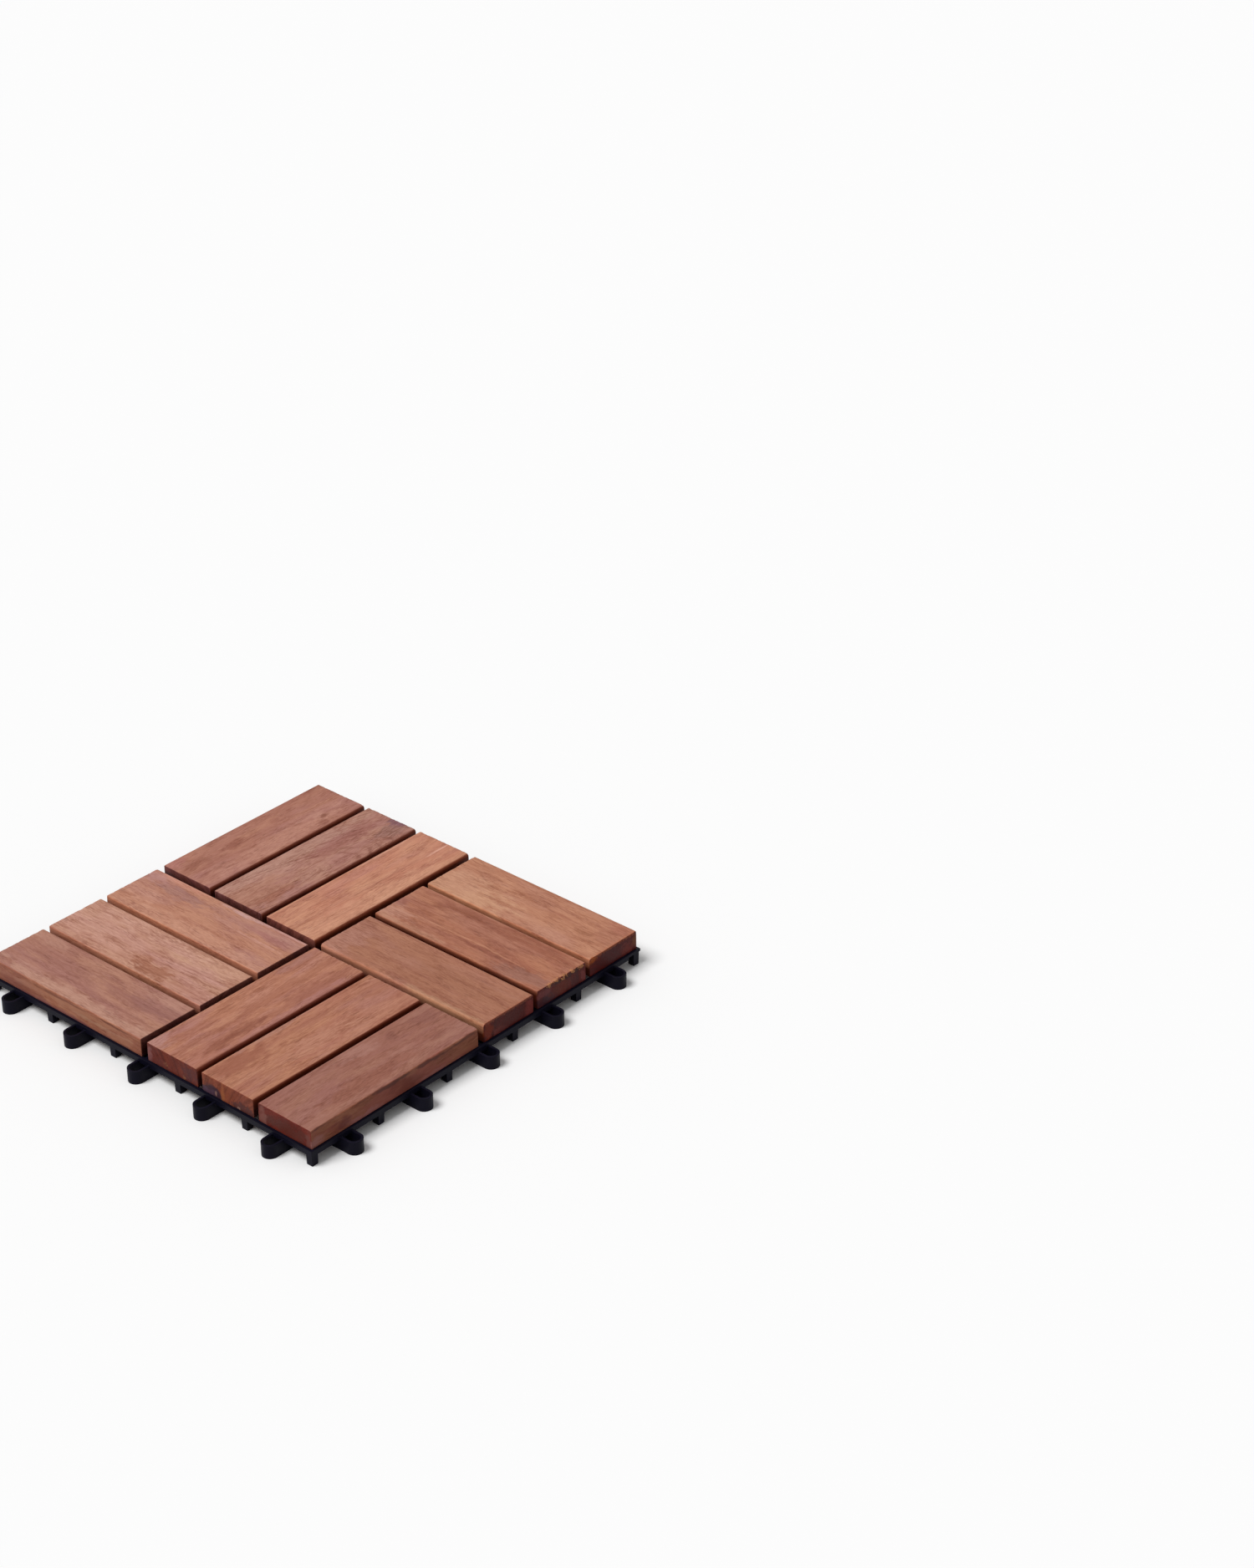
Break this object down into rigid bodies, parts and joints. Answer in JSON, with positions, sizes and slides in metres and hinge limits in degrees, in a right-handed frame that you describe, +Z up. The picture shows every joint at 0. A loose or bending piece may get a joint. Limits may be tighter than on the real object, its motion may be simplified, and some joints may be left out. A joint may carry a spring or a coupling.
{
  "type": "interlocking deck tile",
  "caption": "Square deck tile: hardwood slats in four crosswise quarters, screwed to a black plastic grid whose loops hook under the next tile's studs.",
  "frame": {"origin": "centre of the grid's square at floor level, under the middle leg", "axes": "+Z up through the slats; loops stand out of the -X and -Y sides, studs are inside the +X and +Y sides"},
  "size_m": [0.311, 0.311, 0.025],
  "materials": {
    "black_plastic": "black moulded polypropylene, satin from the mould",
    "zinc_steel": "zinc-plated steel screw",
    "wood_back_inner": "oiled hardwood, planed, its own board's tone",
    "wood_back_middle": "oiled hardwood, planed, its own board's tone",
    "wood_back_outer": "oiled hardwood, planed, its own board's tone",
    "wood_left_inner": "oiled hardwood, planed, its own board's tone",
    "wood_left_middle": "oiled hardwood, planed, its own board's tone",
    "wood_left_outer": "oiled hardwood, planed, its own board's tone",
    "wood_front_inner": "oiled hardwood, planed, its own board's tone",
    "wood_front_middle": "oiled hardwood, planed, its own board's tone",
    "wood_front_outer": "oiled hardwood, planed, its own board's tone",
    "wood_right_inner": "oiled hardwood, planed, its own board's tone",
    "wood_right_middle": "oiled hardwood, planed, its own board's tone",
    "wood_right_outer": "oiled hardwood, planed, its own board's tone"
  },
  "bodies": {
    "root": {"base_grid": "black_plastic", "slat_back_inner": "wood_back_inner", "slat_back_middle": "wood_back_middle", "slat_back_outer": "wood_back_outer", "slat_left_inner": "wood_left_inner", "slat_left_middle": "wood_left_middle", "slat_left_outer": "wood_left_outer", "slat_front_inner": "wood_front_inner", "slat_front_middle": "wood_front_middle", "slat_front_outer": "wood_front_outer", "slat_right_inner": "wood_right_inner", "slat_right_middle": "wood_right_middle", "slat_right_outer": "wood_right_outer", "slat_screws": "zinc_steel"}
  },
  "joints": []
}
